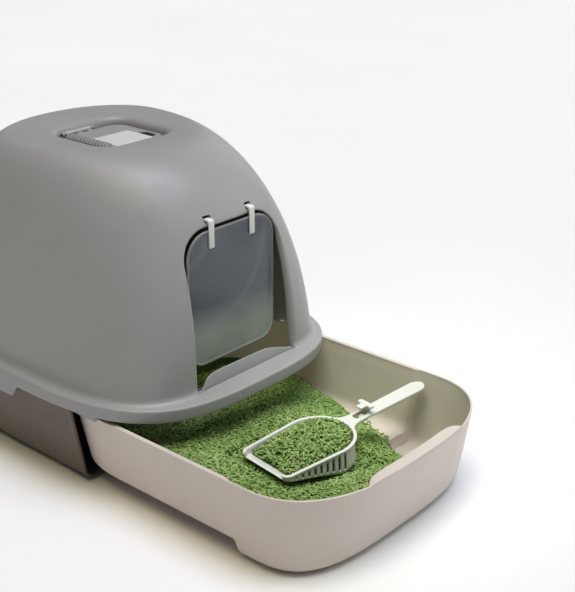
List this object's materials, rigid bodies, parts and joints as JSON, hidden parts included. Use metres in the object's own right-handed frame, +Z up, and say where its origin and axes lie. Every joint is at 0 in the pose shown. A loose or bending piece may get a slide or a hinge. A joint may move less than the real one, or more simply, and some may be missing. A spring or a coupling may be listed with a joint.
{
  "type": "drawer litter box",
  "caption": "Covered pet litter box with a domed lift-off hood, see-through swinging door flap, hinged roof vent, pull-out litter drawer, base tray and slotted scoop.",
  "frame": {"origin": "on the ground directly under the centre of the hood's flange", "axes": "+Z up; the doorway and the drawer front face -Y, so the drawer closes along +Y; +X is to the right of someone who looks in at the doorway"},
  "size_m": [0.4198, 0.7444, 0.414],
  "materials": {
    "hood_plastic": "satin grey",
    "base_plastic": "satin dark taupe",
    "drawer_plastic": "satin warm light grey",
    "pad_rubber": "matt black",
    "litter": "pressed green plant pellets",
    "flap_plastic": "smoky see-through",
    "white_plastic": "white, semi-gloss",
    "scoop_plastic": "warm white, semi-gloss",
    "filter_foam": "charcoal foam",
    "pin_plastic": "dark"
  },
  "bodies": {
    "base": {"base_tray": "base_plastic", "anti_slip_pads": "pad_rubber"},
    "drawer": {"drawer_tray": "drawer_plastic", "litter_bed": "litter"},
    "scoop": {"litter_scoop": "scoop_plastic", "scooped_litter": "litter"},
    "hood": {"hood_shell": "hood_plastic", "filter_pad": "filter_foam", "vent_hinge_bracket": "hood_plastic", "vent_hinge_pin": "pin_plastic"},
    "flap": {"flap_panel": "flap_plastic", "flap_strap_left": "white_plastic", "flap_strap_right": "white_plastic", "flap_studs": "white_plastic"},
    "vent": {"vent_lid": "hood_plastic", "filter_cap": "white_plastic"}
  },
  "joints": [
    {"name": "drawer_slide", "type": "slide", "parent": "base", "child": "drawer", "axis": [0, -1, 0], "range_m": [-0.25, 0.055]},
    {"name": "hood_lift", "type": "slide", "parent": "base", "child": "hood", "axis": [0, 0, 1], "range_m": [0, 0.15]},
    {"name": "flap_swing", "type": "hinge", "parent": "hood", "child": "flap", "pos_m": [0, -0.18552, 0.3376], "axis": [1, 0, 0], "range_deg": [-75, 75]},
    {"name": "vent_lid_hinge", "type": "hinge", "parent": "hood", "child": "vent", "pos_m": [0, 0.0805, 0.4055], "axis": [-1, 0, 0], "range_deg": [0, 100]},
    {"name": "scoop_lift", "type": "slide", "parent": "drawer", "child": "scoop", "axis": [0, 0, 1], "range_m": [0, 0.06]}
  ]
}
